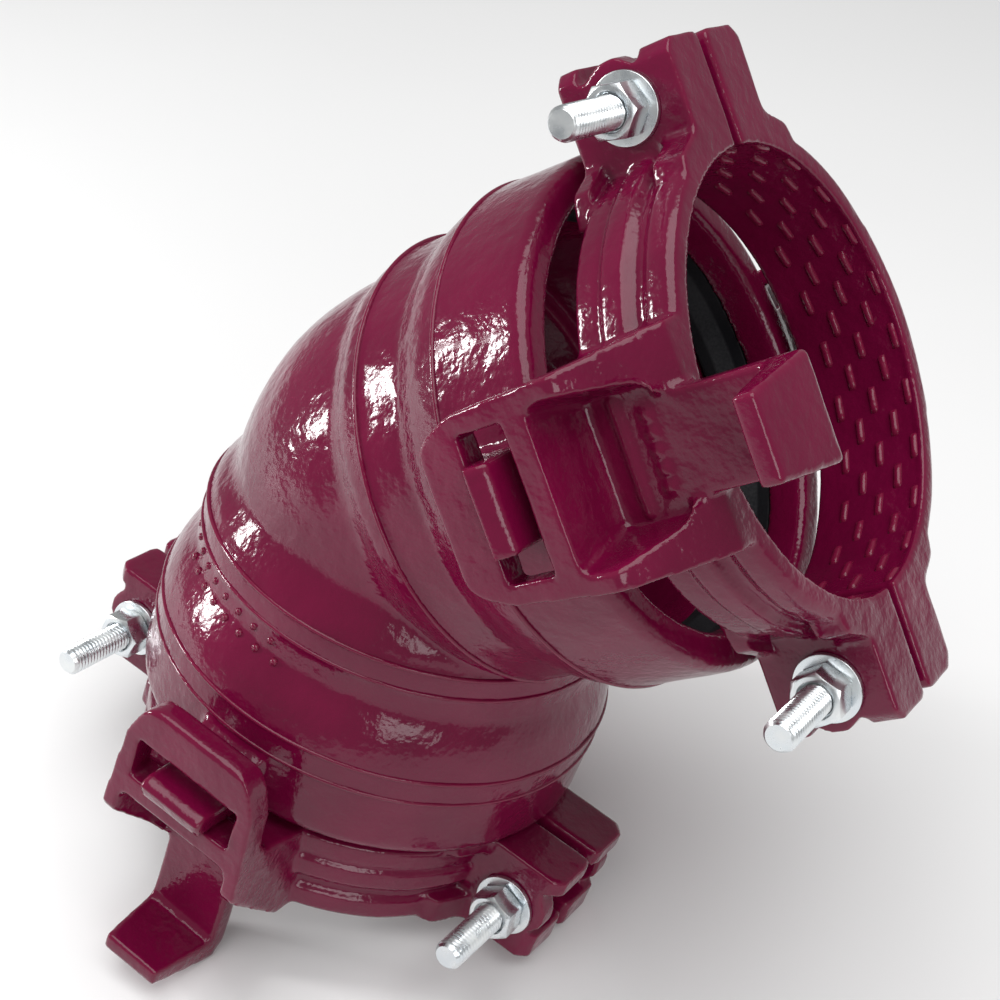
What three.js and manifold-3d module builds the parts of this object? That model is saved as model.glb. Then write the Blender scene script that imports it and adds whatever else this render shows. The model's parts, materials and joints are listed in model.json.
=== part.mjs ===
// A 45 degree push-on elbow for 6 inch pressure pipe, with a bolted two-piece
// joint-restraint clamp on each bell. Lengths are in millimetres and angles in radians.
//
// The elbow is described about the point where its two pipe axes cross. Each branch
// has its own frame: z runs out of the bell along the pipe, y is the side that a clamp
// half covers, and x is the direction across, where the clamp bolts stand.
// The finished object leans on its lower clamp, as it stands when set down on a floor.
import * as THREE from 'three';
import { mergeVertices } from 'three/addons/utils/BufferGeometryUtils.js';
import Module from 'manifold-3d';

const wasm = await Module();
wasm.setup();

// ---- driving dimensions ----
const BEND = THREE.MathUtils.degToRad(45);
const GAP = 0.3; // running gap between touching pieces
const FLOAT = 7; // axial play of a clamp on its lugs

const PIPE_R = 84.15; // 6 inch pipe, 168.3 outside diameter
const BORE_R = 77;
const SOCKET_R = PIPE_R + 1.35;
const MOUTH_R = PIPE_R + 3.2;
const GROOVE_R = 95; // gasket groove in the bell
const BEND_R = 86; // outside of the bend
const BEND_CENTRE_R = 36; // centreline radius of the bend
const SOCKET_STOP_Z = 38;
const GROOVE_Z = [84, 105];
const BELL_END_Z = 122.5;

const BOLT_X = 110; // bolt centres, each side of the pipe axis
const CLAMP_BOLT_Z = 155; // bolt plane of a clamp pulled out against its lugs
const CLAMP_BACK_Z = 137;
const CLAMP_FACE_Z = 177.5;
const CLAMP_BORE_R = PIPE_R + 1.05; // between the gripping teeth
const SPLIT_Y = 2.5; // each half stops this far from the middle plane
const SEAT_Y = 29; // washer seats on the ears

const LUG_Z = [110.5, 121.2];
const LUG_HALF_X = 16;
const LUG_TOP_Y = 137;
const SLOT_HALF_X = 26.3;
const SLOT_Z = [LUG_Z[0] - GAP, LUG_Z[1] + FLOAT + GAP];
const EYE_TOP_Y = 129;
const EYE_UNDER_Y = 117;
const EYE_BACK_Z = 91;
const POCKET_FLOOR_Y = 99.5;

const BOLT_R = 6.35; // half inch bolts
const BOLT_HOLE_R = 7.6;
const WASHER_R = 13.5;
const WASHER_HOLE_R = 6.75;
const WASHER_T = 2.4;
const HEX_FLATS = 19.05;
const NUT_T = 11.1;
const NUT_BORE_R = BOLT_R + GAP;
const HEAD_T = 8;
const BOLT_TIP_Y = 75.5;

const ROUND = 44; // flats round a full turn of the large castings
const SMALL_ROUND = 20; // flats round a bolt or a washer

// ---- materials ----
const paint = new THREE.MeshStandardMaterial({ color: 0x651020, roughness: 0.22, metalness: 0 });
const zinc = new THREE.MeshStandardMaterial({ color: 0xc3c9d0, roughness: 0.3, metalness: 1 });
const rubber = new THREE.MeshStandardMaterial({ color: 0x16171a, roughness: 0.75, metalness: 0 });

// ---- solids ----

// Turns a closed three.js geometry into a solid whose faces point out.
function solid(geometry) {
  const bare = geometry.clone();
  bare.deleteAttribute('normal');
  bare.deleteAttribute('uv');
  const merged = mergeVertices(bare, 1e-4);
  const vertProperties = new Float32Array(merged.attributes.position.array);
  const triVerts = new Uint32Array(merged.index.array);
  if (signedVolume(vertProperties, triVerts) < 0) {
    for (let i = 0; i < triVerts.length; i += 3) {
      [triVerts[i], triVerts[i + 1]] = [triVerts[i + 1], triVerts[i]];
    }
  }
  return new wasm.Manifold(new wasm.Mesh({ numProp: 3, vertProperties, triVerts }));
}

function signedVolume(positions, triangles) {
  const [a, b, c] = [new THREE.Vector3(), new THREE.Vector3(), new THREE.Vector3()];
  let volume = 0;
  for (let i = 0; i < triangles.length; i += 3) {
    a.fromArray(positions, 3 * triangles[i]);
    b.fromArray(positions, 3 * triangles[i + 1]);
    c.fromArray(positions, 3 * triangles[i + 2]);
    volume += a.dot(b.cross(c)) / 6;
  }
  return volume;
}

function mesh(name, body, material) {
  const { vertProperties, triVerts } = body.getMesh();
  const geometry = new THREE.BufferGeometry();
  geometry.setAttribute('position', new THREE.BufferAttribute(new Float32Array(vertProperties), 3));
  geometry.setIndex(new THREE.BufferAttribute(new Uint32Array(triVerts), 1));
  geometry.computeVertexNormals();
  const node = new THREE.Mesh(geometry, material);
  node.name = name;
  return node;
}

const union = (bodies) => bodies.reduce((whole, body) => whole.add(body));

// A body of revolution about z. The profile is a list of [z, r]; a ring repeats its
// first point at the end, anything else starts and ends on the axis.
function revolve(profile, segments = ROUND) {
  const points = profile.map(([z, r]) => new THREE.Vector2(r, z));
  return solid(new THREE.LatheGeometry(points, segments).rotateX(Math.PI / 2));
}

const ring = (profile, segments) => revolve([...profile, profile[0]], segments);

function cylinderY(x, z, radius, y0, y1, segments = SMALL_ROUND) {
  const geometry = new THREE.CylinderGeometry(radius, radius, y1 - y0, segments);
  return solid(geometry.translate(x, (y0 + y1) / 2, z));
}

function box([x0, x1], [y0, y1], [z0, z1]) {
  const geometry = new THREE.BoxGeometry(x1 - x0, y1 - y0, z1 - z0);
  return solid(geometry.translate((x0 + x1) / 2, (y0 + y1) / 2, (z0 + z1) / 2));
}

// A shape in two of the axes, given depth along the third.
function prism(shape, from, to, axis) {
  const geometry = new THREE.ExtrudeGeometry(shape, {
    depth: to - from,
    bevelEnabled: false,
    curveSegments: 5,
  });
  geometry.translate(0, 0, from);
  const [x, y, z] = [new THREE.Vector3(1, 0, 0), new THREE.Vector3(0, 1, 0), new THREE.Vector3(0, 0, 1)];
  const bases = { z: [x, y, z], y: [x, z, y], x: [z, y, x] };
  return solid(geometry.applyMatrix4(new THREE.Matrix4().makeBasis(...bases[axis])));
}

// A six-sided block between two rectangles at different heights y.
function frustum(low, high) {
  const corners = [low, high].flatMap(({ y, x, z }) => [
    [-x, y, z[0]], [x, y, z[0]], [x, y, z[1]], [-x, y, z[1]],
  ]);
  const quads = [[0, 1, 2, 3], [7, 6, 5, 4], [0, 4, 5, 1], [1, 5, 6, 2], [2, 6, 7, 3], [3, 7, 4, 0]];
  const geometry = new THREE.BufferGeometry();
  geometry.setAttribute('position', new THREE.Float32BufferAttribute(corners.flat(), 3));
  geometry.setIndex(quads.flatMap(([a, b, c, d]) => [a, b, c, a, c, d]));
  return solid(geometry);
}

function polygon(points) {
  return new THREE.Shape(points.map(([u, v]) => new THREE.Vector2(u, v)));
}

// ---- branch frames ----
function branchFrame(along, x) {
  const y = new THREE.Vector3(0, -1, 0);
  return new THREE.Matrix4().makeBasis(x, y, along);
}

const branches = {
  upper: branchFrame(
    new THREE.Vector3(Math.sin(BEND), 0, Math.cos(BEND)),
    new THREE.Vector3(-Math.cos(BEND), 0, Math.sin(BEND)),
  ),
  lower: branchFrame(new THREE.Vector3(0, 0, -1), new THREE.Vector3(1, 0, 0)),
};

const inBranch = (body, frame) => body.transform(frame.toArray());

// ---- elbow ----
// The tangent length runs from the crossing of the axes to the end of the curved part.
const TANGENT = BEND_CENTRE_R * Math.tan(BEND / 2);

// Solid of the curved part of the elbow for a pipe of the given radius: the turned
// body about the centre of the bend, kept only between the ends of the two branches.
function bendBody(radius) {
  const overlap = 2;
  const reach = 300;
  const start = Math.acos(-BEND_CENTRE_R / radius);
  const steps = 20;
  const profile = [];
  for (let i = 0; i <= steps; i += 1) {
    const angle = -start + (2 * start * i) / steps;
    const onAxis = i === 0 || i === steps;
    profile.push([radius * Math.sin(angle), onAxis ? 0 : BEND_CENTRE_R + radius * Math.cos(angle)]);
  }
  const points = profile.map(([y, r]) => new THREE.Vector2(r, y));
  const turned = new THREE.LatheGeometry(points, 64).translate(BEND_CENTRE_R, 0, -TANGENT);
  const [tipX, tipZ] = [BEND_CENTRE_R + overlap * Math.cos(BEND / 2), -TANGENT - overlap * Math.sin(BEND / 2)];
  const wedge = polygon([
    [tipX, tipZ],
    [tipX - reach, tipZ],
    [tipX - reach * Math.cos(BEND), tipZ + reach * Math.sin(BEND)],
  ]);
  return solid(turned).intersect(prism(wedge, -reach, reach, 'y'));
}

// Each swell of the casting ends in a flat raised seam band of the given width.
const SEAM_RISE = 0.8;
const SEAMS = { upper: [3, 2], lower: [11, 11] };

function branchOutside([bendSeam, bellSeam]) {
  const [socketZ, bellZ] = [34.5, 81];
  const [socketR, bellR] = [92.8, 101.6];
  return revolve([
    [TANGENT, 0],
    [TANGENT, BEND_R],
    [20, BEND_R + 2],
    [27, socketR - 1.5],
    [socketZ, socketR],
    [socketZ + 0.5, socketR + SEAM_RISE],
    [socketZ + bendSeam, socketR + SEAM_RISE],
    [socketZ + bendSeam + 0.5, socketR],
    [56, socketR],
    [65, 97.2],
    [73, 100.3],
    [bellZ, bellR],
    [bellZ + 0.5, bellR + SEAM_RISE],
    [bellZ + bellSeam, bellR + SEAM_RISE],
    [BELL_END_Z - 4, bellR + SEAM_RISE],
    [BELL_END_Z - 1, bellR - 0.7],
    [BELL_END_Z, bellR - 3],
    [BELL_END_Z, 0],
  ]);
}

const branchInside = () => revolve([
  [TANGENT, 0],
  [TANGENT, BORE_R],
  [SOCKET_STOP_Z, BORE_R],
  [SOCKET_STOP_Z, SOCKET_R],
  [GROOVE_Z[0], SOCKET_R],
  [GROOVE_Z[0], GROOVE_R],
  [GROOVE_Z[1], GROOVE_R],
  [GROOVE_Z[1], MOUTH_R],
  [BELL_END_Z - 3, MOUTH_R],
  [BELL_END_Z + 1, MOUTH_R + 3],
  [BELL_END_Z + 1, 0],
]);

// The thrust lug that stands on the bell and passes through the eye of a clamp half.
function lug(side) {
  const [back, front] = LUG_Z;
  const outline = polygon([
    [92, 90],
    [97, 106],
    [back, 115.5],
    [back, LUG_TOP_Y - 5],
    [back + 2.5, LUG_TOP_Y],
    [front, LUG_TOP_Y - 3.5],
    [front, 90],
  ].map(([z, y]) => [z, side * y]));
  return prism(outline, -LUG_HALF_X, LUG_HALF_X, 'x');
}

function elbowBody() {
  const outside = [bendBody(BEND_R)];
  const inside = [bendBody(BORE_R)];
  for (const [name, frame] of Object.entries(branches)) {
    const branch = union([branchOutside(SEAMS[name]), lug(1), lug(-1)]);
    outside.push(inBranch(branch, frame));
    inside.push(inBranch(branchInside(), frame));
  }
  return union(outside).subtract(union(inside));
}

// The rubber ring keeps a heel in the groove and a lip that wipes the pipe.
const gasketBody = () => ring([
  [GROOVE_Z[0] + GAP, GROOVE_R - GAP],
  [GROOVE_Z[0] + GAP, SOCKET_R + 3],
  [GROOVE_Z[0] + 3, PIPE_R - 1],
  [GROOVE_Z[0] + 9, PIPE_R - 1],
  [GROOVE_Z[1] - 6, MOUTH_R + 1.5],
  [GROOVE_Z[1] - GAP, MOUTH_R + 1.5],
  [GROOVE_Z[1] - GAP, GROOVE_R - GAP],
]);

// ---- clamp halves ----
const FLANGE_R = 92;

const shell = () => ring([
  [CLAMP_BACK_Z, CLAMP_BORE_R],
  [CLAMP_BACK_Z, 92],
  [138.5, 93.3],
  [145.5, 93.3],
  [147.5, 92.3],
  [149.5, 94.8],
  [157.5, 94.8],
  [160.5, 91],
  [164.5, 91],
  [167, 94],
  [174.5, 94],
  [CLAMP_FACE_Z, FLANGE_R],
  [CLAMP_FACE_Z, CLAMP_BORE_R - 0.6],
  [CLAMP_FACE_Z - 2.5, CLAMP_BORE_R - 0.6],
  [CLAMP_FACE_Z - 3.5, CLAMP_BORE_R],
]);

// One bolting ear: a seat plate carried on two walls that reach down to the split.
const EAR_REACH_X = BOLT_X + 18;
const EAR_BACK_Z = 130;
const EAR_CHAMFER = 5;
const EAR_ROOT_X = 74;
const EAR_FILLET_X = BOLT_X - WASHER_R - 1;

function earWall(z0, z1, reach) {
  const shape = new THREE.Shape();
  shape.moveTo(EAR_ROOT_X, SPLIT_Y);
  shape.lineTo(reach - 4, SPLIT_Y);
  shape.quadraticCurveTo(reach, SPLIT_Y, reach, SPLIT_Y + 4);
  shape.lineTo(reach, SEAT_Y - EAR_CHAMFER);
  shape.lineTo(reach - EAR_CHAMFER, SEAT_Y);
  shape.lineTo(EAR_FILLET_X, SEAT_Y);
  shape.quadraticCurveTo(EAR_FILLET_X - 6, SEAT_Y, EAR_FILLET_X - 8, 43);
  shape.lineTo(EAR_ROOT_X, 43);
  return prism(shape, z0, z1, 'z');
}

function earSeat() {
  const shape = new THREE.Shape();
  shape.moveTo(EAR_ROOT_X, EAR_BACK_Z);
  shape.lineTo(EAR_REACH_X - 3, EAR_BACK_Z);
  shape.quadraticCurveTo(EAR_REACH_X - 6, CLAMP_BOLT_Z - 14, EAR_REACH_X - 1, CLAMP_BOLT_Z - 6);
  shape.quadraticCurveTo(EAR_REACH_X + 1, CLAMP_BOLT_Z, EAR_REACH_X - EAR_CHAMFER, CLAMP_BOLT_Z + 8);
  shape.lineTo(EAR_REACH_X - EAR_CHAMFER, CLAMP_FACE_Z);
  shape.lineTo(EAR_ROOT_X, CLAMP_FACE_Z);
  return prism(shape, SEAT_Y - 10, SEAT_Y, 'y');
}

function ear() {
  const body = union([
    earSeat(),
    earWall(CLAMP_FACE_Z - 13.5, CLAMP_FACE_Z, EAR_REACH_X),
    earWall(EAR_BACK_Z, EAR_BACK_Z + 8, EAR_REACH_X + 2),
  ]);
  return body.subtract(cylinderY(BOLT_X, CLAMP_BOLT_Z, BOLT_HOLE_R, 0, 60));
}

const BLOCK_HALF_X = 40;
const BLOCK_FRONT_Y = 94;

// The eye plate and the two side walls that run down from it to the front flange.
function eyeBlock() {
  const side = polygon([
    [EYE_BACK_Z, EYE_TOP_Y],
    [151, EYE_TOP_Y],
    [CLAMP_FACE_Z, BLOCK_FRONT_Y],
    [CLAMP_FACE_Z, 80],
    [CLAMP_BACK_Z, 80],
    [CLAMP_BACK_Z - 5, EYE_UNDER_Y - 6],
    [CLAMP_BACK_Z - 11, EYE_UNDER_Y],
    [EYE_BACK_Z, EYE_UNDER_Y],
  ]);
  const plan = new THREE.Shape();
  plan.moveTo(-17, EYE_BACK_Z);
  plan.lineTo(17, EYE_BACK_Z);
  plan.quadraticCurveTo(30, EYE_BACK_Z + 1, 32.5, EYE_BACK_Z + 16);
  plan.lineTo(36.5, 150);
  plan.lineTo(BLOCK_HALF_X, CLAMP_FACE_Z);
  plan.lineTo(-BLOCK_HALF_X, CLAMP_FACE_Z);
  plan.lineTo(-36.5, 150);
  plan.lineTo(-32.5, EYE_BACK_Z + 16);
  plan.quadraticCurveTo(-30, EYE_BACK_Z + 1, -17, EYE_BACK_Z);
  const sideBody = prism(side, -60, 60, 'x');
  return sideBody.intersect(prism(plan, 60, 160, 'y'));
}

const pocket = () => union([
  frustum(
    { y: POCKET_FLOOR_Y, x: 22.5, z: [CLAMP_BACK_Z + 5, CLAMP_FACE_Z - 8] },
    { y: EYE_TOP_Y + 1, x: 29.5, z: [CLAMP_BACK_Z + 1, CLAMP_FACE_Z - 8] },
  ),
  frustum(
    { y: POCKET_FLOOR_Y, x: 18, z: [CLAMP_FACE_Z - 10, CLAMP_FACE_Z + 1] },
    { y: EYE_TOP_Y + 1, x: 24, z: [CLAMP_FACE_Z - 10, CLAMP_FACE_Z + 1] },
  ),
]);

const LIP_BACK_Z = 209.5;
const LIP_FRONT_Z = 222;
const LIP_TOP_Y = 131;
const LIP_BASE_HALF_X = 18.5;
const LIP_BASE_Y = POCKET_FLOOR_Y - 3.5;

// The flat tongue in front of the pocket and the lip turned up at its end.
const tongue = () => union([
  box([-18, 18], [POCKET_FLOOR_Y - 10, POCKET_FLOOR_Y], [CLAMP_FACE_Z - 12, LIP_BACK_Z + 6]),
  frustum(
    { y: LIP_BASE_Y, x: LIP_BASE_HALF_X, z: [LIP_BACK_Z, LIP_FRONT_Z] },
    { y: LIP_TOP_Y, x: 14.3, z: [LIP_BACK_Z + 0.5, LIP_FRONT_Z - 4] },
  ),
  frustum(
    { y: POCKET_FLOOR_Y - 10, x: 18, z: [LIP_BACK_Z, LIP_FRONT_Z - 6] },
    { y: LIP_BASE_Y, x: LIP_BASE_HALF_X, z: [LIP_BACK_Z, LIP_FRONT_Z] },
  ),
]);

const pocketRib = () => box([-21, 21], [POCKET_FLOOR_Y - 2, POCKET_FLOOR_Y + 2], [151, 154]);

// Only the front half carries the tongue.
function clampHalfBody(withTongue) {
  const earOne = ear();
  const solidHalf = union([
    shell().intersect(box([-200, 200], [SPLIT_Y, 200], [0, 300])),
    earOne,
    earOne.mirror([1, 0, 0]),
    eyeBlock(),
  ]);
  const slot = box([-SLOT_HALF_X, SLOT_HALF_X], [EYE_UNDER_Y - 10, EYE_TOP_Y + 2], SLOT_Z);
  const pipeSpace = revolve([[0, 0], [0, CLAMP_BORE_R], [CLAMP_FACE_Z - 3, CLAMP_BORE_R], [CLAMP_FACE_Z - 3, 0]]);
  const faceSpace = revolve([
    [CLAMP_FACE_Z - 4, 0],
    [CLAMP_FACE_Z - 4, CLAMP_BORE_R - 0.6],
    [CLAMP_FACE_Z + 60, CLAMP_BORE_R - 0.6],
    [CLAMP_FACE_Z + 60, 0],
  ]);
  const spotFaces = [-BOLT_X, BOLT_X].map((x) => cylinderY(x, CLAMP_BOLT_Z, WASHER_R + 0.8, SEAT_Y, 60));
  return solidHalf
    .subtract(union([slot, pocket(), ...spotFaces]))
    .add(withTongue ? tongue().add(pocketRib()) : pocketRib())
    .subtract(union([pipeSpace, faceSpace]));
}

// ---- fasteners ----
function hexY(flats, y0, y1) {
  const geometry = new THREE.CylinderGeometry(flats / Math.sqrt(3), flats / Math.sqrt(3), y1 - y0, 6);
  return solid(geometry.translate(0, (y0 + y1) / 2, 0));
}

const WASHER_Y = SEAT_Y + GAP;
const NUT_Y = WASHER_Y + WASHER_T + GAP;

const washerBody = () => cylinderY(0, 0, WASHER_R, WASHER_Y, WASHER_Y + WASHER_T)
  .subtract(cylinderY(0, 0, WASHER_HOLE_R, 0, 60));

const nutBody = () => hexY(HEX_FLATS, NUT_Y, NUT_Y + NUT_T)
  .subtract(cylinderY(0, 0, NUT_BORE_R, 0, 60));

const boltBody = () => hexY(HEX_FLATS, -NUT_Y - HEAD_T, -NUT_Y)
  .add(cylinderY(0, 0, BOLT_R, -NUT_Y - 1, BOLT_TIP_Y - 1.5))
  .add(cylinderY(0, 0, BOLT_R - 1.2, BOLT_TIP_Y - 3, BOLT_TIP_Y));

// ---- assembly ----
function placed(node, x, y, z, turned) {
  node.position.set(x, y, z);
  if (turned) node.rotation.z = Math.PI;
  return node;
}

// A clamp in its branch frame. The front half covers +y and the rear half -y.
function clamp(prefix, shift) {
  const group = new THREE.Group();
  group.add(mesh(`${prefix}_clamp_front`, clampHalfBody(true), paint));
  group.add(placed(mesh(`${prefix}_clamp_rear`, clampHalfBody(false), paint), 0, 0, 0, true));
  const sides = prefix === 'upper' ? { top: 1, bottom: -1 } : { inner: -1, outer: 1 };
  for (const [place, sign] of Object.entries(sides)) {
    const x = sign * BOLT_X;
    const z = CLAMP_BOLT_Z;
    group.add(placed(mesh(`${prefix}_bolt_${place}`, boltBody(), zinc), x, 0, z));
    group.add(placed(mesh(`${prefix}_nut_${place}`, nutBody(), zinc), x, 0, z));
    group.add(placed(mesh(`${prefix}_nut_washer_${place}`, washerBody(), zinc), x, 0, z));
    group.add(placed(mesh(`${prefix}_head_washer_${place}`, washerBody(), zinc), x, 0, z, true));
  }
  group.position.z = shift;
  return group;
}

function branchGroup(prefix, shift) {
  const group = new THREE.Group();
  group.add(mesh(`${prefix}_gasket`, gasketBody(), rubber));
  group.add(clamp(prefix, shift));
  const frame = branches[prefix];
  group.quaternion.setFromRotationMatrix(frame);
  return group;
}

// The lower clamp is pushed home by the weight on it; the upper one is pulled out.
const LOWER_SHIFT = -FLOAT;

const fitting = new THREE.Group();
fitting.add(mesh('elbow_body', elbowBody(), paint));
fitting.add(branchGroup('upper', 0));
fitting.add(branchGroup('lower', LOWER_SHIFT));

// It stands on three corners of the lower clamp: the lip of its front half, and the
// outer ear and the block of its rear half. They settle the plane of the floor.
function restCorners() {
  const faceZ = CLAMP_FACE_Z + LOWER_SHIFT;
  const corners = [
    [LIP_BASE_HALF_X, LIP_BASE_Y, LIP_FRONT_Z + LOWER_SHIFT],
    [EAR_REACH_X - EAR_CHAMFER, -SEAT_Y, faceZ],
    [BLOCK_HALF_X, -BLOCK_FRONT_Y, faceZ],
  ];
  return corners.map((corner) => new THREE.Vector3(...corner).applyMatrix4(branches.lower));
}

const floorUp = new THREE.Plane().setFromCoplanarPoints(...restCorners()).normal;
if (floorUp.z < 0) floorUp.negate();
fitting.quaternion.setFromUnitVectors(floorUp, new THREE.Vector3(0, 0, 1));

const object = new THREE.Group();
object.add(fitting);
object.updateMatrixWorld(true);
const bounds = new THREE.Box3().setFromObject(object, true);
fitting.position.set(-(bounds.min.x + bounds.max.x) / 2, -(bounds.min.y + bounds.max.y) / 2, -bounds.min.z);

export default object;
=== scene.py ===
# Looks of a 45 degree push-on pipe elbow with a bolted restraint clamp on each bell.
# Shapes are described in millimetres, in the frame of one branch of the elbow: z runs
# out of the bell along the pipe, y is the side a clamp half covers, x is across, where
# the bolts stand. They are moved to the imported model's metres at the very end.
import json
import math

import bmesh
import bpy
from mathutils import Matrix, Vector, noise


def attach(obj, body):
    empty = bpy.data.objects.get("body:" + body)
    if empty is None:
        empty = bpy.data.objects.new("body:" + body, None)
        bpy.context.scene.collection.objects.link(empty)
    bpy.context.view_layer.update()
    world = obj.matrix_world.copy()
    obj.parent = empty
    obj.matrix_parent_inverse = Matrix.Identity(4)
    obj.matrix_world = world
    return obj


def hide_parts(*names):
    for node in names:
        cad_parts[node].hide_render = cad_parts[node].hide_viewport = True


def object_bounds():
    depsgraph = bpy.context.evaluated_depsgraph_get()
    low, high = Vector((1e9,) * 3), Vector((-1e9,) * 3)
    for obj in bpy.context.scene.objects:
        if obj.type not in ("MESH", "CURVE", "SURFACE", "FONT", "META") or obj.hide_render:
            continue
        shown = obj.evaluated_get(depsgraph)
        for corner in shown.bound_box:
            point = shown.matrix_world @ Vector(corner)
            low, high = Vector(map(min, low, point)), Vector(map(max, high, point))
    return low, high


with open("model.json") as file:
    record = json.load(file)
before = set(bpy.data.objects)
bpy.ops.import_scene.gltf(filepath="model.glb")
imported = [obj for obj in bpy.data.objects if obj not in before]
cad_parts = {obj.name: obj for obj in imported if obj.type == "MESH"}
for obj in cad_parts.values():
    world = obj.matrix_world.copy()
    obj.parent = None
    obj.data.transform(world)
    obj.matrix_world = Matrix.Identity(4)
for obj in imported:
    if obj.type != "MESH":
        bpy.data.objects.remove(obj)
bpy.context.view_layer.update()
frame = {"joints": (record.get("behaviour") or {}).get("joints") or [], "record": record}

# ---- frames of the two branches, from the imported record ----
MM = 0.001
STOP_R, STOP_Z = 81.2, 38  # where the pipe stop mounts lie in their branch
BOLT_X, BOLT_Z = 110, 155
joints = {joint["name"]: joint for joint in frame["joints"]}
mounts = {mount["name"]: mount for mount in frame["record"]["mounts"]}


def branch_frame(prefix):
    """Branch millimetres to world metres."""
    along = Vector(joints[prefix + "_clamp_float"]["axis"]).normalized()
    outward = Vector(joints[prefix + "_clamp_release"]["axis"]).normalized()
    across = outward.cross(along)
    stop = Vector(mounts[prefix + "_pipe_stop"]["pos_m"])
    origin = stop - (STOP_R * outward + STOP_Z * along) * MM
    turn = Matrix((across, outward, along)).transposed().to_4x4()
    return Matrix.Translation(origin) @ turn @ Matrix.Scale(MM, 4)


branches = {prefix: branch_frame(prefix) for prefix in ("upper", "lower")}


def clamp_shift(prefix):
    """How far a clamp stands from its outermost place, along its branch."""
    names = {"upper": "upper_nut_top_turn", "lower": "lower_nut_outer_turn"}
    place = branches[prefix].inverted() @ Vector(joints[names[prefix]]["pos_m"])
    return place.z - BOLT_Z


# The elbow as a whole is shaped in a frame whose -z runs down the lower branch and
# whose -y is the side that the front clamp halves cover.
elbow_to_lower = Matrix(((1, 0, 0, 0), (0, -1, 0, 0), (0, 0, -1, 0), (0, 0, 0, 1)))
elbow_frame = branches["lower"] @ elbow_to_lower
BEND = math.radians(45)
upper_in_elbow = elbow_frame.inverted() @ branches["upper"]
lower_in_elbow = elbow_to_lower

# ---- solids ----


def link(name, mesh):
    made = bpy.data.objects.new(name, mesh)
    bpy.context.scene.collection.objects.link(made)
    return made


def closed(points, faces, name="solid"):
    """A closed body whose faces look outward."""
    mesh = bpy.data.meshes.new(name)
    mesh.from_pydata(points, [], faces)
    edit = bmesh.new()
    edit.from_mesh(mesh)
    bmesh.ops.recalc_face_normals(edit, faces=edit.faces)
    edit.to_mesh(mesh)
    edit.free()
    return link(name, mesh)


def lathe(profile, segments=168):
    """Turns a list of (z, r) about z. A profile that leaves the axis closes on itself."""
    points, rings = [], []
    for z, r in profile:
        start = len(points)
        if r == 0:
            points.append((0, 0, z))
            rings.append([start] * segments)
            continue
        for i in range(segments):
            angle = 2 * math.pi * i / segments
            points.append((r * math.cos(angle), r * math.sin(angle), z))
        rings.append(list(range(start, start + segments)))
    following = rings[1:] + rings[:1] if profile[0][1] else rings[1:]
    faces = []
    for near, far in zip(rings, following):
        for i in range(segments):
            j = (i + 1) % segments
            face = list(dict.fromkeys((near[i], near[j], far[j], far[i])))
            if len(face) > 2:
                faces.append(face)
    return closed(points, faces)


def flow(corners, steps=5):
    """A smooth run of points through the given ones."""
    padded = [corners[0], *corners, corners[-1]]
    run = []
    for i in range(len(corners) - 1):
        a, b, c, d = (Vector(p) for p in padded[i : i + 4])
        for k in range(steps):
            t = k / steps
            p = 0.5 * (2 * b + (c - a) * t + (2 * a - 5 * b + 4 * c - d) * t**2)
            p += 0.5 * (3 * b - a - 3 * c + d) * t**3
            run.append(tuple(p))
    return run + [tuple(corners[-1])]


def rounded(corners, radius, steps=5):
    """An outline with its corners rounded; a corner may carry its own radius."""
    outline = []
    for i, corner in enumerate(corners):
        here = Vector(corner[:2])
        back = Vector(corners[i - 1][:2]) - here
        onward = Vector(corners[(i + 1) % len(corners)][:2]) - here
        own = corner[2] if len(corner) > 2 else radius
        reach = min(own / math.tan(back.angle(onward) / 2), back.length * 0.48, onward.length * 0.48)
        start, end = here + back.normalized() * reach, here + onward.normalized() * reach
        for k in range(steps + 1):
            t = k / steps
            outline.append(tuple((1 - t) ** 2 * start + 2 * t * (1 - t) * here + t * t * end))
    return outline


PLACES = {
    "x": lambda u, v, w: (w, v, u),
    "y": lambda u, v, w: (u, w, v),
    "z": lambda u, v, w: (u, v, w),
}


def loft(rings):
    """A closed body through rings of as many points each."""
    count = len(rings[0])
    points = [p for ring in rings for p in ring]
    faces = [list(range(count)), list(range(len(points) - count, len(points)))]
    for k in range(len(rings) - 1):
        for i in range(count):
            j = (i + 1) % count
            faces.append([k * count + i, k * count + j, (k + 1) * count + j, (k + 1) * count + i])
    return closed(points, faces)


def prism(outline, low, high, axis):
    """An outline given depth along an axis: (z, y) along x, (x, z) along y, (x, y) along z."""
    place = PLACES[axis]
    return loft([[place(u, v, w) for u, v in outline] for w in (low, high)])


def slab(y, half_x, z, radius):
    """A rounded rectangle at height y, as a ring for a loft."""
    z0, z1 = z
    outline = rounded([(-half_x, z0), (half_x, z0), (half_x, z1), (-half_x, z1)], radius)
    return [(x, y, z) for x, z in outline]


def box(x, y, z):
    corners = [(x[0], y[0]), (x[1], y[0]), (x[1], y[1]), (x[0], y[1])]
    return prism(corners, z[0], z[1], "z")


def cylinder_y(x, z, radius, low, high, sides=48):
    turn = [2 * math.pi * i / sides for i in range(sides)]
    return prism([(x + radius * math.cos(a), z + radius * math.sin(a)) for a in turn], low, high, "y")


def bake(made):
    """Replaces a piece's mesh by what its modifiers make of it."""
    graph = bpy.context.evaluated_depsgraph_get()
    mesh = bpy.data.meshes.new_from_object(made.evaluated_get(graph))
    made.modifiers.clear()
    made.data = mesh


def combine(operation, first, *others):
    for other in others:
        step = first.modifiers.new(operation, "BOOLEAN")
        step.operation = operation
        step.solver = "MANIFOLD"
        step.object = other
    bake(first)
    for other in others:
        bpy.data.objects.remove(other)
    return first


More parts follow.
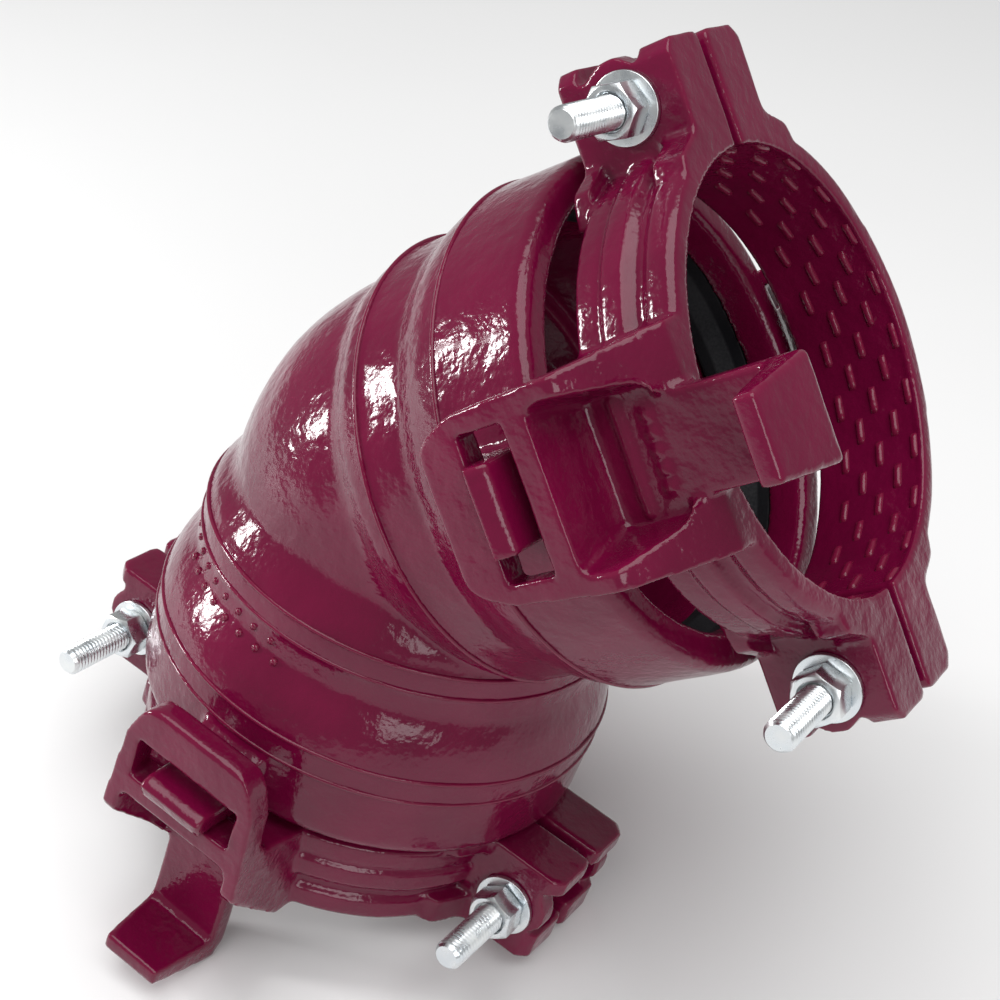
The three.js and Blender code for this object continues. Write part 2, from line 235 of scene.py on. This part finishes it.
def moved(made, matrix):
    made.data.transform(matrix)
    if matrix.determinant() < 0:
        made.data.flip_normals()
    return made


def mirrored(made):
    twin = link("twin", made.data.copy())
    return moved(twin, Matrix.Scale(-1, 4, (1, 0, 0)))


def cast(made, cell, passes, swell):
    """Gives a body the rounded edges and the slightly uneven skin of a sand casting."""
    skin = made.modifiers.new("skin", "REMESH")
    skin.mode = "VOXEL"
    skin.voxel_size = cell
    soften = made.modifiers.new("soften", "SMOOTH")
    soften.factor = 0.5
    soften.iterations = passes
    bake(made)
    long_wave, short_wave = 1 / 26, 1 / 9
    normals = [normal.vector.copy() for normal in made.data.vertex_normals]
    for vertex, normal in zip(made.data.vertices, normals):
        wave = noise.noise(vertex.co * long_wave) + 0.4 * noise.noise(vertex.co * short_wave)
        vertex.co += normal * (swell * wave)
    return made


# ---- elbow ----
TANGENT = 36 * math.tan(BEND / 2)
BEND_CENTRE_R = 36
BELL_END_Z = 122.5


def bend_body(radius):
    """The curved part of the elbow, kept between the ends of the two branches."""
    start = math.acos(-BEND_CENTRE_R / radius)
    steps = 56
    profile = [(-radius * math.sin(start), 0)]
    for i in range(1, steps):
        angle = -start + 2 * start * i / steps
        profile.append((radius * math.sin(angle), BEND_CENTRE_R + radius * math.cos(angle)))
    profile.append((radius * math.sin(start), 0))
    turned = lathe(profile, 260)
    moved(turned, Matrix.Rotation(math.radians(90), 4, "X"))
    moved(turned, Matrix.Translation((BEND_CENTRE_R, 0, -TANGENT)))
    overlap, reach = 2, 300
    tip_x = BEND_CENTRE_R + overlap * math.cos(BEND / 2)
    tip_z = -TANGENT - overlap * math.sin(BEND / 2)
    wedge = [
        (tip_x, tip_z),
        (tip_x - reach, tip_z),
        (tip_x - reach * math.cos(BEND), tip_z + reach * math.sin(BEND)),
    ]
    return combine("INTERSECT", turned, prism(wedge, -reach, reach, "y"))


# Raised seam bands on the two swells of a branch, as (start, end) along z.
SEAMS = {"upper": ((35, 37.6), (81, 83)), "lower": ((33.5, 45.5), (81.5, 93))}
SOCKET_R, BELL_R = 92.8, 101.9


def branch_outside(prefix):
    low, high = SEAMS[prefix][0]
    profile = [(TANGENT, 0), (TANGENT, 86)]
    profile += flow([(15.2, 86), (19, 87), (23, 89), (28, 91.6), (33, SOCKET_R)])
    profile += [(low, SOCKET_R), (low + 0.6, SOCKET_R + 1), (high - 0.6, SOCKET_R + 1), (high, SOCKET_R)]
    profile += flow([(56, SOCKET_R), (60, 94.6), (65, 97.2), (70, 99.3), (75, 100.8), (80, BELL_R)])
    profile += [(82, 102.4), (118.5, 102.4), (121.4, 101), (BELL_END_Z, 98.6), (BELL_END_Z, 0)]
    return lathe(profile)


def branch_inside():
    return lathe([
        (TANGENT, 0), (TANGENT, 77), (STOP_Z, 77), (STOP_Z, 85.5), (84, 85.5), (84, 95),
        (105, 95), (105, 87.35), (BELL_END_Z - 3, 87.35), (BELL_END_Z + 1, 90.35), (BELL_END_Z + 1, 0),
    ])


def lug(side):
    """The thrust lug on a bell, with a foot that flares into the casting."""
    outline = rounded([
        (88, 90), (93, 100, 6), (100, 108, 8), (110.5, 117.5, 4), (110.5, 132.5, 2.5),
        (113.2, 137, 2), (121.2, 133.6, 2.5), (121.2, 90),
    ], 2)
    return prism([(z, side * y) for z, y in outline], -16, 16, "x")


def elbow_casting():
    outside, inside = [bend_body(86)], [bend_body(77)]
    for prefix, place in (("upper", upper_in_elbow), ("lower", lower_in_elbow)):
        outside += [moved(piece, place) for piece in (branch_outside(prefix), lug(1), lug(-1))]
        inside.append(moved(branch_inside(), place))
    solid = combine("UNION", *outside)
    return cast(combine("DIFFERENCE", solid, *inside), 1.5, 5, 0.35)


def bead(z, radius, thickness, sides=10):
    turn = [2 * math.pi * i / sides for i in range(sides)]
    return lathe([(z + thickness * math.sin(a), radius + thickness * math.cos(a)) for a in turn], 200)


def joined(pieces):
    """Several separate bodies as one piece."""
    edit = bmesh.new()
    for piece in pieces:
        edit.from_mesh(piece.data)
        bpy.data.objects.remove(piece)
    mesh = bpy.data.meshes.new("joined")
    edit.to_mesh(mesh)
    edit.free()
    return link("joined", mesh)


# Rows of pips on the lower swell, as (place along z, height above SOCKET_R, first angle).
PIP_ROWS = ((51.5, 0, -2), (58.5, 1.3, 1))
PIP_COUNT, PIP_STEP = 9, 6.2  # in the first row, and degrees from one pip to the next


def swell_pips():
    """Plain round pips raised on the lower swell, one fewer in the second row."""
    pips = []
    for row, (z, rise, first) in enumerate(PIP_ROWS):
        radius = SOCKET_R + rise
        for i in range(PIP_COUNT - row):
            pip = loft([
                slab(radius - 1, 1.9, (-1.9, 1.9), 1.8),
                slab(radius + 0.9, 1.2, (-1.2, 1.2), 1.1),
            ])
            moved(pip, Matrix.Translation((0, 0, z)))
            around = math.radians(first - i * PIP_STEP)
            pips.append(moved(pip, lower_in_elbow @ Matrix.Rotation(-around, 4, "Z")))
    return pips


def seam_beads():
    """Thin beads along the edges of the seam bands, with the pips."""
    beads = []
    for prefix, place in (("upper", upper_in_elbow), ("lower", lower_in_elbow)):
        socket, bell = SEAMS[prefix]
        edges = [(socket[0] + 0.9, SOCKET_R + 0.7), (bell[0] + 0.5, BELL_R + 0.3)]
        if prefix == "lower":
            edges += [(socket[1] - 0.9, SOCKET_R + 0.7), (bell[1], 102.2)]
        beads += [moved(bead(z, r, 0.95), place) for z, r in edges]
    return joined(beads + swell_pips())


def gasket_ring():
    return lathe(rounded([
        (84.3, 94.7), (84.3, 88.5), (87, 83.15, 2), (93, 83.15, 2), (99, 88.85, 2),
        (104.7, 88.85), (104.7, 94.7),
    ], 0.8))


# ---- clamp halves ----
BACK_Z, FACE_Z = 137, 177.5
REAR_BACK_Z = 130.2  # a rear half reaches further towards the bell
BORE_R, MOUTH_R = 85.2, 84.6
EYE_X, EYE_Z = 26.3, (109.3, 128.5)  # the opening for the lug
SPLIT_Y, SEAT_Y = 2.5, 29
WASHER_R = 13.5
EAR_BACK_Z, EAR_REACH_X, EAR_ROOT_X = 130, 128, 74
EAR_FILLET_X = BOLT_X - WASHER_R - 1
FLOOR_Y = 99.5  # floor of the pocket and face of the tongue


def shell(back):
    """The ribbed band round the pipe, from its back edge to the face."""
    profile = [(back, BORE_R)]
    profile += rounded([
        (back + 0.01, 89), (back, 93.3, 2), (146.2, 93.3, 1), (147.6, 92, 0.8), (149.2, 94.9, 1.5),
        (157.8, 94.9, 1.5), (160.5, 91, 1.5), (164.5, 91, 1.5), (167, 94.1, 2), (174.8, 94.1, 2.5),
        (FACE_Z, 91.8, 1), (FACE_Z + 0.01, 88),
    ], 1)[6:-6]
    profile += [(FACE_Z, MOUTH_R), (FACE_Z - 2.5, MOUTH_R), (FACE_Z - 3.5, BORE_R)]
    return lathe(profile)


def ear_wall(low, high, reach):
    outline = rounded([
        (EAR_ROOT_X, SPLIT_Y, 0.5), (reach, SPLIT_Y, 4), (reach, SEAT_Y - 4.5, 2),
        (reach - 4.5, SEAT_Y, 3),
        (EAR_FILLET_X - 1, SEAT_Y, 5), (EAR_FILLET_X - 8, 44, 4), (EAR_ROOT_X, 48, 0.5),
    ], 2)
    return prism(outline, low, high, "z")


def ear():
    seat = rounded([
        (EAR_ROOT_X, EAR_BACK_Z, 0.5), (125.5, EAR_BACK_Z, 2), (123, 141, 6), (127.5, 148, 7),
        (128.5, 156, 7),
        (123, 163, 6), (123, FACE_Z, 1), (EAR_ROOT_X, FACE_Z, 0.5),
    ], 2)
    solid = combine(
        "UNION",
        prism(seat, SEAT_Y - 10, SEAT_Y, "y"),
        ear_wall(FACE_Z - 13.5, FACE_Z, EAR_REACH_X),
        ear_wall(EAR_BACK_Z, EAR_BACK_Z + 8, EAR_REACH_X + 2),
    )
    return combine("DIFFERENCE", solid, cylinder_y(BOLT_X, BOLT_Z, 7.6, 0, 60))


def eye_block():
    side = rounded([
        (91, 129, 3), (151, 129, 6), (FACE_Z, 94, 2), (FACE_Z, 80), (BACK_Z, 80), (BACK_Z - 5, 111, 6),
        (BACK_Z - 11, 117, 6), (91, 117, 3),
    ], 1)
    plan = rounded([
        (-26, 91, 13), (26, 91, 13), (33.5, 108, 18), (36.5, 150, 20), (40, FACE_Z, 1), (-40, FACE_Z, 1),
        (-36.5, 150, 20), (-33.5, 108, 18),
    ], 2)
    return combine("INTERSECT", prism(side, -60, 60, "x"), prism(plan, 60, 160, "y"))


def pocket():
    wide = loft([
        slab(FLOOR_Y, 22.5, (142, 169.5), 4),
        slab(FLOOR_Y + 6, 24, (140.4, 169.5), 5),
        slab(130, 29.5, (138, 169.5), 6),
    ])
    neck = loft([slab(FLOOR_Y, 18, (162, 182), 2), slab(130, 24, (162, 182), 2)])
    return [wide, neck]


def tongue():
    plate = box((-18, 18), (FLOOR_Y - 10, FLOOR_Y), (FACE_Z - 12, 215.5))
    lip = loft([
        slab(FLOOR_Y - 10, 18, (209.5, 216), 1.5),
        slab(FLOOR_Y - 3.5, 18.5, (209.5, 222), 1.5),
        slab(131, 14.3, (210, 218), 1.5),
    ])
    foot = prism([(206.5, 99), (211, 99), (211, 103.5)], -17.5, 17.5, "x")
    return combine("UNION", plate, lip, foot)


def floor_marks():
    """A low cross rib and a row of plain round pips on the floor of the pocket."""
    rib = [slab(FLOOR_Y - 1, 21.5, (149.5, 155), 2), slab(FLOOR_Y + 1.6, 20.5, (151, 153.4), 1)]
    marks = [loft(rib)]
    for i in range(5):
        x = (i - 2) * 6.2
        marks.append(loft([
            slab(FLOOR_Y - 1, 2.4, (160.6, 165.4), 2.2),
            slab(FLOOR_Y + 1.3, 1.7, (161.3, 164.7), 1.6),
        ]))
        moved(marks[-1], Matrix.Translation((x, 0, 0)))
    return marks


def clamp_half(with_tongue):
    """A front half has the tongue; a rear half has its block cut back to a cone."""
    one_ear = ear()
    other_ear = mirrored(one_ear)
    band = shell(BACK_Z if with_tongue else REAR_BACK_Z)
    half_shell = combine("INTERSECT", band, box((-200, 200), (SPLIT_Y, 200), (0, 300)))
    block = eye_block()
    if not with_tongue:
        beyond_cone = lathe([(151, 124), (FACE_Z + 2, 90), (FACE_Z + 2, 170), (151, 170)])
        block = combine("DIFFERENCE", block, beyond_cone)
    solid = combine("UNION", half_shell, one_ear, other_ear, block)
    eye = [(-EYE_X, EYE_Z[0]), (EYE_X, EYE_Z[0]), (EYE_X, EYE_Z[1]), (-EYE_X, EYE_Z[1])]
    slot = prism(rounded(eye, 1.5), 107, 131, "y")
    spots = [cylinder_y(x, BOLT_Z, WASHER_R + 1.2, SEAT_Y, 60) for x in (-BOLT_X, BOLT_X)]
    solid = combine("DIFFERENCE", solid, slot, *pocket(), *spots)
    solid = combine("UNION", solid, *floor_marks())
    if with_tongue:
        solid = combine("UNION", solid, tongue())
    bore = lathe([
        (0, 0), (0, BORE_R), (FACE_Z - 3.5, BORE_R), (FACE_Z - 2.5, MOUTH_R), (250, MOUTH_R), (250, 0),
    ])
    return cast(combine("DIFFERENCE", solid, bore), 1.15, 5, 0.3)


TOOTH_ROWS, TOOTH_FIRST_Z, TOOTH_ROW_STEP = 5, 143, 7.6
TOOTH_HALF_ARC = math.radians(3.9)
TOOTH_PITCH = math.radians(15.5)


def gripping_teeth():
    """Short raised bars round the bore, each row shifted half a pitch from the last."""
    teeth = []
    foot = BORE_R + 0.5
    stations = 6
    for row in range(TOOTH_ROWS):
        z = TOOTH_FIRST_Z + TOOTH_ROW_STEP * row
        angle = math.radians(8) + (row % 2) * TOOTH_PITCH / 2
        while angle < math.radians(173):
            rings = []
            for k in range(stations + 1):
                t = 2 * k / stations - 1
                a = angle + TOOTH_HALF_ARC * t
                crest = BORE_R - 1.5 * (1 - t**6) + 0.2
                section = [(z - 2.3, foot), (z - 1.0, crest), (z + 0.9, crest), (z + 2.0, foot)]
                rings.append([(r * math.cos(a), r * math.sin(a), height) for height, r in section])
            teeth.append(loft(rings))
            angle += TOOTH_PITCH
    return joined(teeth)


# ---- fasteners, each turned about its own z, which points to the nut end ----
BOLT_R, THREAD_PITCH, THREAD_DEPTH = 6.35, 25.4 / 13, 1.0
HEX_FLATS, NUT_T, HEAD_T = 19.05, 11.1, 8
WASHER_LOW, WASHER_T, GAP = SEAT_Y + 0.3, 2.4, 0.3
NUT_LOW = WASHER_LOW + WASHER_T + GAP
BOLT_TIP, THREAD_START = 75.5, 27


def hexagon(low, high, chamfer_low, chamfer_high):
    """A hexagon bar whose ends are turned down to rounds."""
    corner_r = HEX_FLATS / math.sqrt(3)
    flat_r = HEX_FLATS / 2 - 0.3
    sides = [math.pi / 3 * i for i in range(6)]
    bar = prism([(corner_r * math.cos(a), corner_r * math.sin(a)) for a in sides], low, high, "z")
    slope = (corner_r + 0.5 - flat_r) * math.tan(math.radians(30))
    profile = [(low, 0), (low, flat_r if chamfer_low else 20)]
    profile += [(low + slope, corner_r + 0.5)] if chamfer_low else []
    profile += [(high - slope, corner_r + 0.5)] if chamfer_high else []
    profile += [(high, flat_r if chamfer_high else 20), (high, 0)]
    return combine("INTERSECT", bar, lathe(profile, 96))


def eased(made, width=0.3):
    ease = made.modifiers.new("ease", "BEVEL")
    ease.width = width
    ease.segments = 2
    ease.limit_method = "ANGLE"
    ease.angle_limit = math.radians(28)
    bake(made)
    return made


def nut():
    solid = hexagon(NUT_LOW, NUT_LOW + NUT_T, True, True)
    hole = lathe([
        (NUT_LOW - 1, 0), (NUT_LOW - 1, 8.2), (NUT_LOW + 1.2, 6.5), (NUT_LOW + NUT_T - 1.2, 6.5),
        (NUT_LOW + NUT_T + 1, 8.2), (NUT_LOW + NUT_T + 1, 0),
    ], 64)
    return eased(combine("DIFFERENCE", solid, hole), 0.25)


def washer():
    high = WASHER_LOW + WASHER_T
    outline = [(WASHER_LOW, 6.75), (WASHER_LOW, WASHER_R), (high, WASHER_R), (high, 6.75)]
    return lathe(rounded(outline, 0.5), 96)


def threaded_rod(low, high, start, tip_chamfer):
    """A rod with a rolled helical thread from start to its tip."""
    sides, rows_per_pitch = 40, 8
    heights = [low, start - 1]
    rows = int((high - start) / THREAD_PITCH * rows_per_pitch)
    heights += [start + (high - start) * k / rows for k in range(rows + 1)]
    rings = []
    for z in heights:
        ring = []
        for i in range(sides):
            angle = 2 * math.pi * i / sides
            phase = (z / THREAD_PITCH - i / sides) % 1
            flank = min(1, max(0, 1.35 * abs(2 * phase - 1) - 0.12))
            runout = min(1, max(0, (z - start) / (1.5 * THREAD_PITCH)))
            r = BOLT_R - THREAD_DEPTH * (1 - flank) * runout
            r = min(r, BOLT_R - max(0, z - high + tip_chamfer) * 0.9)
            ring.append((r * math.cos(angle), r * math.sin(angle), z))
        rings.append(ring)
    return loft(rings)


def bolt():
    head = eased(hexagon(-NUT_LOW - HEAD_T, -NUT_LOW, True, False), 0.35)
    rod = threaded_rod(-NUT_LOW - 1, BOLT_TIP, THREAD_START, 1.6)
    return joined([head, rod])


# ---- materials ----


def shader(name):
    material = bpy.data.materials.new(name)
    material.use_nodes = True
    tree = material.node_tree
    tree.nodes.clear()
    output = tree.nodes.new("ShaderNodeOutputMaterial")
    surface = tree.nodes.new("ShaderNodeBsdfPrincipled")
    tree.links.new(surface.outputs["BSDF"], output.inputs["Surface"])
    where = tree.nodes.new("ShaderNodeTexCoord").outputs["Object"]
    return material, tree, surface, where


def noise_field(tree, where, scale, detail=2.0, roughness=0.5, stretch=None):
    if stretch:
        squeeze = tree.nodes.new("ShaderNodeMapping")
        squeeze.inputs["Scale"].default_value = stretch
        tree.links.new(where, squeeze.inputs["Vector"])
        where = squeeze.outputs["Vector"]
    field = tree.nodes.new("ShaderNodeTexNoise")
    field.inputs["Scale"].default_value = scale
    field.inputs["Detail"].default_value = detail
    field.inputs["Roughness"].default_value = roughness
    tree.links.new(where, field.inputs["Vector"])
    return field.outputs["Fac"]


def ranged(tree, value, low, high, to_low, to_high):
    spread = tree.nodes.new("ShaderNodeMapRange")
    limits = {"From Min": low, "From Max": high, "To Min": to_low, "To Max": to_high}
    for socket, number in limits.items():
        spread.inputs[socket].default_value = number
    tree.links.new(value, spread.inputs["Value"])
    return spread.outputs["Result"]


def mixed(tree, factor, first, second):
    mix = tree.nodes.new("ShaderNodeMix")
    mix.data_type = "RGBA"
    tree.links.new(factor, mix.inputs["Factor"])
    for socket, colour in ((mix.inputs[6], first), (mix.inputs[7], second)):
        if isinstance(colour, tuple):
            socket.default_value = (*colour, 1)
        else:
            tree.links.new(colour, socket)
    return mix.outputs[2]


def bumped(tree, surface, heights):
    """Chains bumps, given as (field, strength, distance in metres)."""
    normal = None
    for field, strength, distance in heights:
        bump = tree.nodes.new("ShaderNodeBump")
        bump.inputs["Strength"].default_value = strength
        bump.inputs["Distance"].default_value = distance
        tree.links.new(field, bump.inputs["Height"])
        if normal:
            tree.links.new(normal, bump.inputs["Normal"])
        normal = bump.outputs["Normal"]
    tree.links.new(normal, surface.inputs["Normal"])


def enamel():
    """Thick glossy enamel over rough iron: dimpled and uneven, lighter on the edges from thinner paint and
    a painted highlight, with painted shade darkening the hollows.
    """
    material, tree, surface, where = shader("maroon_enamel")
    broad = noise_field(tree, where, 22, 3)
    fine = noise_field(tree, where, 420, 2)
    peel = noise_field(tree, where, 170, 2.5, 0.55)
    lumps = noise_field(tree, where, 62, 2)
    patches = ranged(tree, broad, 0.3, 0.7, 0, 1)
    body_colour = mixed(tree, patches, (0.108, 0.0017, 0.024), (0.148, 0.0027, 0.033))
    geometry = tree.nodes.new("ShaderNodeNewGeometry")
    # Convex edges and tooth crests made lighter: partly thinner paint, partly a painted highlight.
    thin_paint_and_highlight = ranged(tree, geometry.outputs["Pointiness"], 0.515, 0.60, 0, 0.75)
    colour = mixed(tree, thin_paint_and_highlight, body_colour, (0.17, 0.007, 0.034))
    # Painted shade: concave hollows, creases and recesses are darkened.
    painted_shade_in_hollows = ranged(tree, geometry.outputs["Pointiness"], 0.485, 0.42, 0, 0.6)
    colour = mixed(tree, painted_shade_in_hollows, colour, (0.065, 0.0010, 0.018))
    tree.links.new(colour, surface.inputs["Base Color"])
    tree.links.new(ranged(tree, fine, 0.3, 0.75, 0.09, 0.20), surface.inputs["Roughness"])
    surface.inputs["Specular IOR Level"].default_value = 0.32
    surface.inputs["Coat Weight"].default_value = 0.12
    surface.inputs["Coat Roughness"].default_value = 0.06
    bumped(tree, surface, [(lumps, 0.5, 0.0012), (peel, 0.9, 0.0006), (fine, 0.5, 0.00018)])
    return material


def zinc():
    material, tree, surface, where = shader("bright_zinc")
    cloud = noise_field(tree, where, 130, 3)
    grain = noise_field(tree, where, 1500, 2)
    colour = mixed(tree, ranged(tree, cloud, 0.35, 0.7, 0, 1), (0.66, 0.70, 0.73), (0.78, 0.80, 0.80))
    tree.links.new(colour, surface.inputs["Base Color"])
    surface.inputs["Metallic"].default_value = 1.0
    tree.links.new(ranged(tree, cloud, 0.3, 0.75, 0.20, 0.38), surface.inputs["Roughness"])
    bumped(tree, surface, [(cloud, 0.06, 0.0003), (grain, 0.2, 0.00006)])
    return material


def rubber():
    material, tree, surface, where = shader("black_rubber")
    dust = noise_field(tree, where, 60, 4)
    grain = noise_field(tree, where, 900, 2)
    dusty = ranged(tree, dust, 0.35, 0.75, 0, 1)
    colour = mixed(tree, dusty, (0.004, 0.004, 0.006), (0.011, 0.011, 0.013))
    tree.links.new(colour, surface.inputs["Base Color"])
    tree.links.new(ranged(tree, grain, 0.3, 0.7, 0.6, 0.8), surface.inputs["Roughness"])
    surface.inputs["Specular IOR Level"].default_value = 0.25
    bumped(tree, surface, [(dust, 0.15, 0.0006), (grain, 0.3, 0.00012)])
    return material


materials = {"enamel_paint": enamel(), "zinc_plate": zinc(), "gasket_rubber": rubber()}

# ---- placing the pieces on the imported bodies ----


def dress(made, name, matrix, body, slot, *nodes):
    """Names a piece, moves it to its place in the world and hands it to a body."""
    made.name = name
    moved(made, matrix)
    made.data.materials.clear()
    made.data.materials.append(materials[slot])
    made.data.shade_smooth()
    if slot == "zinc_plate":
        made.data.set_sharp_from_angle(angle=math.radians(32))
    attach(made, body)
    if nodes:
        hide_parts(*nodes)
    return made


def copy_of(made):
    return link(made.name, made.data.copy())


dress(elbow_casting(), "elbow_casting", elbow_frame, "elbow", "enamel_paint", "elbow_body")
dress(seam_beads(), "elbow_seam_beads", elbow_frame, "elbow", "enamel_paint")

HALF_TURN = Matrix.Rotation(math.pi, 4, "Z")
TO_BOLT_AXIS = Matrix.Rotation(math.radians(-90), 4, "X")
BOLT_PLACES = {"upper": {"top": 1, "bottom": -1}, "lower": {"inner": -1, "outer": 1}}
masters = {
    "front": clamp_half(True),
    "rear": clamp_half(False),
    "teeth": gripping_teeth(),
    "gasket": gasket_ring(),
    "bolt": bolt(),
    "nut": nut(),
    "washer": washer(),
}

for prefix, branch in branches.items():
    gasket = copy_of(masters["gasket"])
    dress(gasket, f"{prefix}_gasket_ring", branch, "elbow", "gasket_rubber", f"{prefix}_gasket")
    seat = branch @ Matrix.Translation((0, 0, clamp_shift(prefix)))
    for side, turn in (("front", Matrix.Identity(4)), ("rear", HALF_TURN)):
        body = f"{prefix}_{side}"
        place = seat @ turn
        half = copy_of(masters[side])
        dress(half, f"{body}_casting", place, body, "enamel_paint", f"{prefix}_clamp_{side}")
        dress(copy_of(masters["teeth"]), f"{body}_teeth", place, body, "enamel_paint")
    for i, (where, sign) in enumerate(BOLT_PLACES[prefix].items()):
        axis = seat @ Matrix.Translation((sign * BOLT_X, 0, BOLT_Z)) @ TO_BOLT_AXIS
        spin = Matrix.Rotation(math.radians(17 + 23 * i), 4, "Z")
        flip = Matrix.Rotation(math.pi, 4, "X")
        parts = (
            ("bolt", "bolt", axis @ spin, f"{prefix}_rear"),
            ("nut", "nut", axis @ spin, f"{prefix}_nut_{where}"),
            ("nut_washer", "washer", axis, f"{prefix}_front"),
            ("head_washer", "washer", axis @ flip, f"{prefix}_rear"),
        )
        for part, master, place, body in parts:
            node = f"{prefix}_{part}_{where}"
            dress(copy_of(masters[master]), node + "_piece", place, body, "zinc_plate", node)

for master in masters.values():
    bpy.data.objects.remove(master)

# ---- floor, light and camera ----


def stage_material():
    material, tree, surface, where = shader("pale_floor")
    tint = mixed(tree, noise_field(tree, where, 3, 2), (0.80, 0.80, 0.80), (0.83, 0.83, 0.83))
    tree.links.new(tint, surface.inputs["Base Color"])
    surface.inputs["Roughness"].default_value = 0.9
    return material


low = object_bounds()[0]
FLOOR_REACH = 9
floor_mesh = bpy.data.meshes.new("floor")
floor_corners = [(x * FLOOR_REACH, y * FLOOR_REACH, low.z) for x, y in ((-1, -1), (1, -1), (1, 1), (-1, 1))]
floor_mesh.from_pydata(floor_corners, [], [(0, 1, 2, 3)])
floor = link("floor", floor_mesh)
floor.data.materials.append(stage_material())

world = bpy.data.worlds.new("studio")
bpy.context.scene.world = world
world.use_nodes = True
world.node_tree.nodes["Background"].inputs["Color"].default_value = (1, 1, 1, 1)
world.node_tree.nodes["Background"].inputs["Strength"].default_value = 0.34
bpy.context.scene.view_settings.view_transform = "Standard"


def soft_light(name, direction, distance, width, height, power):
    light = bpy.data.lights.new(name, "AREA")
    light.shape = "RECTANGLE"
    light.size, light.size_y = width, height
    light.energy = power
    lamp = bpy.data.objects.new(name, light)
    bpy.context.scene.collection.objects.link(lamp)
    aim = Vector((0, 0, 0.2))
    lamp.location = aim + Vector(direction).normalized() * distance
    lamp.rotation_euler = (aim - lamp.location).to_track_quat("-Z", "Y").to_euler()


soft_light("key", (-0.86, -0.40, 0.22), 1.6, 0.22, 0.45, 15)
soft_light("top", (0.1, -0.1, 1), 2.2, 2.4, 2.4, 54)
soft_light("fill", (0.9, -0.7, 0.5), 2.4, 1.0, 1.0, 12)

camera_data = bpy.data.cameras.new("camera")
camera = bpy.data.objects.new("camera", camera_data)
bpy.context.scene.collection.objects.link(camera)
bpy.context.scene.camera = camera
# The place and the turn of the camera are given in the elbow's own frame.
CAMERA_AT = (269.85, -579.67, 370.48)
CAMERA_RIGHT = Vector((0.78563, 0.54006, 0.30186))
CAMERA_UP = Vector((-0.50496, 0.27779, 0.81722))
CAMERA_BACK = Vector((0.35749, -0.79446, 0.49095))
elbow_turn = elbow_frame.to_quaternion().to_matrix()
camera.location = elbow_frame @ Vector(CAMERA_AT)
camera_axes = [elbow_turn @ axis for axis in (CAMERA_RIGHT, CAMERA_UP, CAMERA_BACK)]
camera_turn = Matrix(camera_axes).transposed()
camera.rotation_mode = "QUATERNION"
camera.rotation_quaternion = camera_turn.to_quaternion()
camera_data.sensor_width = 36
camera_data.lens = 36 * 1.7451
camera_data.shift_x = 0.03
camera_data.shift_y = -0.04
camera_data.clip_end = 60
